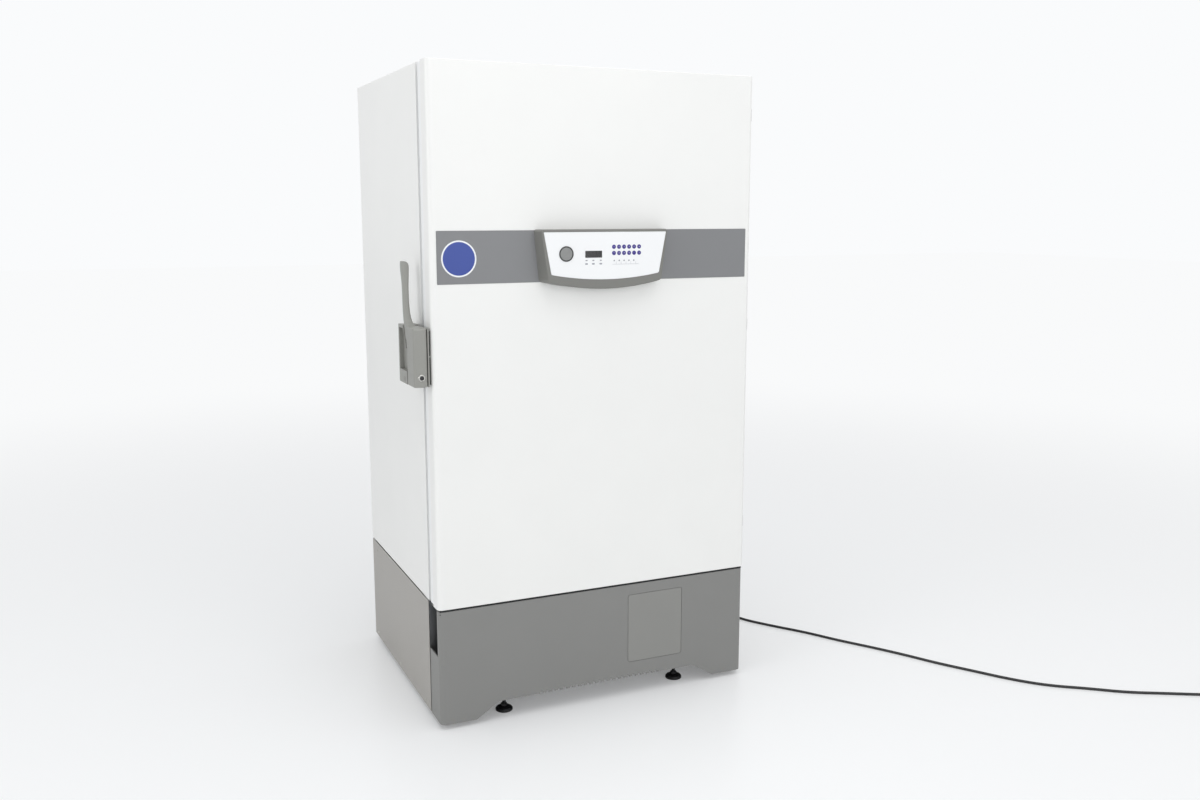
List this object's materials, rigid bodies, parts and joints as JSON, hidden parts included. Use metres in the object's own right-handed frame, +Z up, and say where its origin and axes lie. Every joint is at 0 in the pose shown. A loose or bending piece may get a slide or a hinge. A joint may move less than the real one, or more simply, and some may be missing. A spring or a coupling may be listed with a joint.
{
  "type": "ultra low temperature upright freezer",
  "caption": "Tall laboratory freezer with a hinged insulated door, latch handle, control panel, inner doors, shelves and a caster base that holds the cooling plant.",
  "frame": {"origin": "middle of the footprint without the mains lead, on the floor", "axes": "+Z up, front of the door towards -Y, handle on the -X side"},
  "size_m": [2.6419, 1.9294, 1.96],
  "materials": {
    "cabinet_white": "semi-gloss powder coat",
    "door_white": "semi-gloss powder coat",
    "base_warm_grey": "satin powder coat",
    "cover_grey": "fine grained moulding",
    "blank_grey": "fine grained moulding",
    "housing_grey": "fine grained moulding",
    "handle_grey": "satin moulding",
    "band_grey": "smooth film",
    "fascia_white": "printed film",
    "key_violet": "raised membrane",
    "display_dark": "tinted window",
    "sounder_grey": "moulded",
    "liner_white": "vacuum formed",
    "gasket_grey": "silicone",
    "foam": "polyurethane foam",
    "stainless": "brushed",
    "inner_door_white": "moulded, foam filled",
    "hinge_steel": "plated",
    "bright_steel": "nickel plated",
    "galvanised": "galvanised sheet",
    "frame_black": "black powder coat",
    "compressor_black": "black enamel",
    "copper": "drawn tube",
    "aluminium_fin": "rolled",
    "filter_mesh": "woven mesh in a frame",
    "fan_black": "moulded",
    "box_grey": "powder coat",
    "black_plastic": "moulded",
    "tread_grey": "polyurethane",
    "cord_black": "satin jacket"
  },
  "bodies": {
    "cabinet": {"cabinet_shell": "cabinet_white", "cabinet_back": "cabinet_white", "cabinet_insulation": "foam", "inner_liner": "stainless", "breaker_frame": "liner_white", "shelves": "stainless", "shelf_ladders": "stainless", "inner_door_hinges": "hinge_steel", "port_plug": "black_plastic", "rear_spacers": "black_plastic", "latch_keeper": "bright_steel", "cabinet_hinges": "hinge_steel", "base_frame": "frame_black", "base_side_panels": "base_warm_grey", "base_screws": "bright_steel", "caster_mounts": "galvanised", "air_filter": "filter_mesh", "condenser": "aluminium_fin", "fan_shroud": "galvanised", "fan_motor": "galvanised", "compressors": "compressor_black", "refrigerant_pipes": "copper", "electronics_box": "box_grey", "rear_grille": "base_warm_grey", "switch_housing": "black_plastic", "cord_gland": "black_plastic", "power_cord": "cord_black", "cord_coil": "cord_black", "power_plug": "black_plastic"},
    "door": {"door_skin": "door_white", "door_liner": "liner_white", "door_insulation": "foam", "door_gasket": "gasket_grey", "door_band": "band_grey", "panel_bezel": "housing_grey", "panel_fascia": "fascia_white", "panel_keys": "key_violet", "display_window": "display_dark", "alarm_sounder": "sounder_grey", "handle_base": "handle_grey", "door_hinge_leaves": "hinge_steel"},
    "handle": {"handle_lever": "handle_grey"},
    "lock": {"lock_cylinder": "bright_steel"},
    "cover": {"front_cover": "cover_grey", "recorder_blank": "blank_grey"},
    "rotor": {"fan_rotor": "fan_black"},
    "switch": {"power_switch": "black_plastic"},
    "inner_door_1": {"inner_door_1": "inner_door_white"},
    "inner_door_2": {"inner_door_2": "inner_door_white"},
    "inner_door_3": {"inner_door_3": "inner_door_white"},
    "inner_door_4": {"inner_door_4": "inner_door_white"},
    "inner_door_5": {"inner_door_5": "inner_door_white"},
    "caster_left": {"caster_fork_left": "galvanised"},
    "front_wheel_left": {"front_wheel_left": "tread_grey"},
    "rear_wheel_left": {"rear_wheel_left": "tread_grey"},
    "foot_left": {"levelling_foot_left": "black_plastic"},
    "caster_right": {"caster_fork_right": "galvanised"},
    "front_wheel_right": {"front_wheel_right": "tread_grey"},
    "rear_wheel_right": {"rear_wheel_right": "tread_grey"},
    "foot_right": {"levelling_foot_right": "black_plastic"}
  },
  "joints": [
    {"name": "door_hinge", "type": "hinge", "parent": "cabinet", "child": "door", "pos_m": [0.5535, -0.3485, 1.13], "axis": [0, 0, 1], "range_deg": [0, 120]},
    {"name": "handle_pivot", "type": "hinge", "parent": "door", "child": "handle", "pos_m": [-0.5355, -0.2995, 1.063], "axis": [1, 0, 0], "range_deg": [0, 65]},
    {"name": "lock_turn", "type": "hinge", "parent": "handle", "child": "lock", "pos_m": [-0.5431, -0.4065, 1.0777], "axis": [0, 1, 0], "range_deg": [0, 90]},
    {"name": "cover_hinge", "type": "hinge", "parent": "cabinet", "child": "cover", "pos_m": [0.5255, -0.3105, 0.14], "axis": [0, 0, 1], "range_deg": [0, 88]},
    {"name": "fan_spin", "type": "hinge", "parent": "cabinet", "child": "rotor", "pos_m": [0.0125, -0.1375, 0.247], "axis": [0, 1, 0], "continuous": true},
    {"name": "switch_rock", "type": "hinge", "parent": "cabinet", "child": "switch", "pos_m": [0.3725, 0.4275, 0.092], "axis": [1, 0, 0], "range_deg": [-12, 0]},
    {"name": "inner_door_1_hinge", "type": "hinge", "parent": "cabinet", "child": "inner_door_1", "pos_m": [0.4435, -0.2885, 0.644], "axis": [0, 0, 1], "range_deg": [0, 95]},
    {"name": "inner_door_2_hinge", "type": "hinge", "parent": "cabinet", "child": "inner_door_2", "pos_m": [0.4435, -0.2885, 0.912], "axis": [0, 0, 1], "range_deg": [0, 95]},
    {"name": "inner_door_3_hinge", "type": "hinge", "parent": "cabinet", "child": "inner_door_3", "pos_m": [0.4435, -0.2885, 1.18], "axis": [0, 0, 1], "range_deg": [0, 95]},
    {"name": "inner_door_4_hinge", "type": "hinge", "parent": "cabinet", "child": "inner_door_4", "pos_m": [0.4435, -0.2885, 1.448], "axis": [0, 0, 1], "range_deg": [0, 95]},
    {"name": "inner_door_5_hinge", "type": "hinge", "parent": "cabinet", "child": "inner_door_5", "pos_m": [0.4435, -0.2885, 1.716], "axis": [0, 0, 1], "range_deg": [0, 95]},
    {"name": "caster_swivel_left", "type": "hinge", "parent": "cabinet", "child": "caster_left", "pos_m": [-0.3725, -0.2385, 0.095], "axis": [0, 0, 1], "continuous": true},
    {"name": "front_wheel_spin_left", "type": "hinge", "parent": "caster_left", "child": "front_wheel_left", "pos_m": [-0.3725, -0.2165, 0.035], "axis": [1, 0, 0], "continuous": true},
    {"name": "rear_wheel_spin_left", "type": "hinge", "parent": "cabinet", "child": "rear_wheel_left", "pos_m": [-0.3725, 0.3595, 0.035], "axis": [1, 0, 0], "continuous": true},
    {"name": "foot_screw_left", "type": "slide", "parent": "cabinet", "child": "foot_left", "axis": [0, 0, -1], "range_m": [-0.01, 0.015]},
    {"name": "caster_swivel_right", "type": "hinge", "parent": "cabinet", "child": "caster_right", "pos_m": [0.3975, -0.2385, 0.095], "axis": [0, 0, 1], "continuous": true},
    {"name": "front_wheel_spin_right", "type": "hinge", "parent": "caster_right", "child": "front_wheel_right", "pos_m": [0.3975, -0.2165, 0.035], "axis": [1, 0, 0], "continuous": true},
    {"name": "rear_wheel_spin_right", "type": "hinge", "parent": "cabinet", "child": "rear_wheel_right", "pos_m": [0.3975, 0.3595, 0.035], "axis": [1, 0, 0], "continuous": true},
    {"name": "foot_screw_right", "type": "slide", "parent": "cabinet", "child": "foot_right", "axis": [0, 0, -1], "range_m": [-0.01, 0.015]}
  ],
  "couplings": [
    {"joint": "inner_door_1_hinge", "follows": "door_hinge", "ratio": 0.79},
    {"joint": "inner_door_2_hinge", "follows": "door_hinge", "ratio": 0.79},
    {"joint": "inner_door_3_hinge", "follows": "door_hinge", "ratio": 0.79},
    {"joint": "inner_door_4_hinge", "follows": "door_hinge", "ratio": 0.79},
    {"joint": "inner_door_5_hinge", "follows": "door_hinge", "ratio": 0.79}
  ]
}
